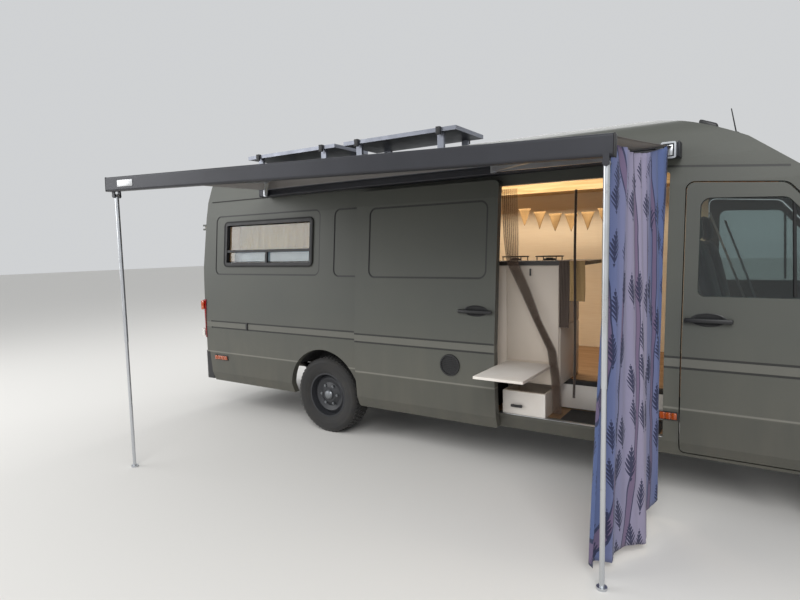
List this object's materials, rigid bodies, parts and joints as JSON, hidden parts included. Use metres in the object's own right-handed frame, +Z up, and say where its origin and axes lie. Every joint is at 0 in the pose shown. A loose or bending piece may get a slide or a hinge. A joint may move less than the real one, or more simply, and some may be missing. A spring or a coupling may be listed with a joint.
{
  "type": "camper van",
  "caption": "Long high-roof camper van with open sliding door, side awning on legs, roof solar panels, hinged doors, steering front wheels and a fitted living space.",
  "frame": {"origin": "on the ground under the van's centre line, midway between the axles", "axes": "+X points forward, +Y to the van's left, +Z up"},
  "size_m": [6.7055, 3.6149, 2.687],
  "materials": {
    "body_paint": "matte",
    "black_plastic": "matte",
    "underbody_steel": "matte",
    "wheel_steel": "satin",
    "tyre_rubber": "matte",
    "window_glass": "gloss",
    "lamp_clear": "gloss",
    "lamp_red": "gloss",
    "cast_engine": "matte",
    "dash_plastic": "matte",
    "seat_cloth": "matte",
    "awning_metal": "satin",
    "bright_aluminium": "satin",
    "awning_fabric": "matte",
    "curtain_fabric": "matte",
    "panel_frame": "satin",
    "white_laminate": "satin",
    "worktop_board": "satin",
    "plywood": "satin",
    "floor_covering": "satin",
    "mattress_cloth": "matte",
    "linen_cloth": "matte"
  },
  "bodies": {
    "root": {"chassis_frame": "underbody_steel", "floor_pan": "floor_covering", "body_side_left": "body_paint", "body_side_right": "body_paint", "high_roof": "body_paint", "cab_frame": "body_paint", "front_wings": "body_paint", "windscreen": "window_glass", "front_bumper": "black_plastic", "rear_bumper": "black_plastic", "grille": "black_plastic", "headlamps": "lamp_clear", "rear_lamps": "lamp_red", "dashboard": "dash_plastic", "cab_seats": "seat_cloth", "engine_block": "cast_engine", "fuel_tank": "black_plastic", "exhaust": "underbody_steel", "rear_axle": "underbody_steel", "side_window_frame": "black_plastic", "side_window_glass": "window_glass", "sliding_door": "body_paint", "awning_box": "awning_metal", "awning_arms": "bright_aluminium", "awning_rail": "awning_metal", "awning_cloth": "awning_fabric", "side_curtain": "curtain_fabric", "solar_panels": "panel_frame", "kitchen_unit": "white_laminate", "worktop": "worktop_board", "overhead_shelf": "plywood", "bed_base": "plywood", "mattress": "mattress_cloth", "interior_linen": "linen_cloth"},
    "bonnet": {"bonnet": "body_paint"},
    "cab_door_left": {"cab_door_left": "body_paint", "cab_door_glass_left": "window_glass", "mirror_left": "black_plastic"},
    "cab_door_right": {"cab_door_right": "body_paint", "cab_door_glass_right": "window_glass", "mirror_right": "black_plastic"},
    "rear_door_left": {"rear_door_left": "body_paint"},
    "rear_door_right": {"rear_door_right": "body_paint"},
    "knuckle_left": {"knuckle_left": "underbody_steel"},
    "knuckle_right": {"knuckle_right": "underbody_steel"},
    "leg_upper_left": {"leg_upper_left": "bright_aluminium"},
    "leg_lower_left": {"leg_lower_left": "bright_aluminium"},
    "leg_upper_right": {"leg_upper_right": "bright_aluminium"},
    "leg_lower_right": {"leg_lower_right": "bright_aluminium"},
    "folding_table": {"folding_table": "white_laminate"},
    "step_drawer": {"step_drawer": "white_laminate"},
    "wheel_front_left": {"tyre_front_left": "tyre_rubber", "rim_front_left": "wheel_steel"},
    "wheel_front_right": {"tyre_front_right": "tyre_rubber", "rim_front_right": "wheel_steel"},
    "wheel_rear_left": {"tyre_rear_left": "tyre_rubber", "rim_rear_left": "wheel_steel"},
    "wheel_rear_right": {"tyre_rear_right": "tyre_rubber", "rim_rear_right": "wheel_steel"}
  },
  "joints": [
    {"name": "steer_left", "type": "hinge", "parent": "root", "child": "knuckle_left", "pos_m": [2.0125, 0.715, 0.33], "axis": [0, 0, 1], "range_deg": [-35, 35]},
    {"name": "spin_front_left", "type": "hinge", "parent": "knuckle_left", "child": "wheel_front_left", "pos_m": [2.0125, 0.815, 0.348], "axis": [0, 1, 0], "continuous": true},
    {"name": "spin_rear_left", "type": "hinge", "parent": "root", "child": "wheel_rear_left", "pos_m": [-2.0125, 0.815, 0.348], "axis": [0, 1, 0], "continuous": true},
    {"name": "cab_door_left_hinge", "type": "hinge", "parent": "root", "child": "cab_door_left", "pos_m": [1.947, 0.953, 0.965], "axis": [0, 0, -1], "range_deg": [0, 68]},
    {"name": "rear_door_left_hinge", "type": "hinge", "parent": "root", "child": "rear_door_left", "pos_m": [-3.682, 0.846, 1.3], "axis": [0, 0, -1], "range_deg": [0, 170]},
    {"name": "steer_right", "type": "hinge", "parent": "root", "child": "knuckle_right", "pos_m": [2.0125, -0.715, 0.33], "axis": [0, 0, 1], "range_deg": [-35, 35]},
    {"name": "spin_front_right", "type": "hinge", "parent": "knuckle_right", "child": "wheel_front_right", "pos_m": [2.0125, -0.815, 0.348], "axis": [0, 1, 0], "continuous": true},
    {"name": "spin_rear_right", "type": "hinge", "parent": "root", "child": "wheel_rear_right", "pos_m": [-2.0125, -0.815, 0.348], "axis": [0, 1, 0], "continuous": true},
    {"name": "cab_door_right_hinge", "type": "hinge", "parent": "root", "child": "cab_door_right", "pos_m": [1.947, -0.953, 0.965], "axis": [0, 0, 1], "range_deg": [0, 68]},
    {"name": "rear_door_right_hinge", "type": "hinge", "parent": "root", "child": "rear_door_right", "pos_m": [-3.682, -0.846, 1.3], "axis": [0, 0, 1], "range_deg": [0, 170]},
    {"name": "bonnet_hinge", "type": "hinge", "parent": "root", "child": "bonnet", "pos_m": [2.372, 0, 1.215], "axis": [0, -1, 0], "range_deg": [0, 60]},
    {"name": "leg_fold_left", "type": "hinge", "parent": "root", "child": "leg_upper_left", "pos_m": [-2.81488, -2.33178, 2.12691], "axis": [0.0868, -0.9962, 0], "range_deg": [0, 85]},
    {"name": "leg_slide_left", "type": "slide", "parent": "leg_upper_left", "child": "leg_lower_left", "axis": [0, 0, 1], "range_m": [0, 0.48]},
    {"name": "leg_fold_right", "type": "hinge", "parent": "root", "child": "leg_upper_right", "pos_m": [0.71988, -2.08822, 2.04909], "axis": [-0.0868, 0.9962, 0], "range_deg": [0, 85]},
    {"name": "leg_slide_right", "type": "slide", "parent": "leg_upper_right", "child": "leg_lower_right", "axis": [0, 0, 1], "range_m": [0, 0.48]},
    {"name": "table_fold", "type": "hinge", "parent": "root", "child": "folding_table", "pos_m": [-0.1, -0.83, 0.82], "axis": [-1, 0, 0], "range_deg": [0, 90]},
    {"name": "drawer_slide", "type": "slide", "parent": "root", "child": "step_drawer", "axis": [0, -1, 0], "range_m": [0, 0.25]}
  ],
  "couplings": [
    {"joint": "steer_right", "follows": "steer_left", "ratio": 1}
  ]
}
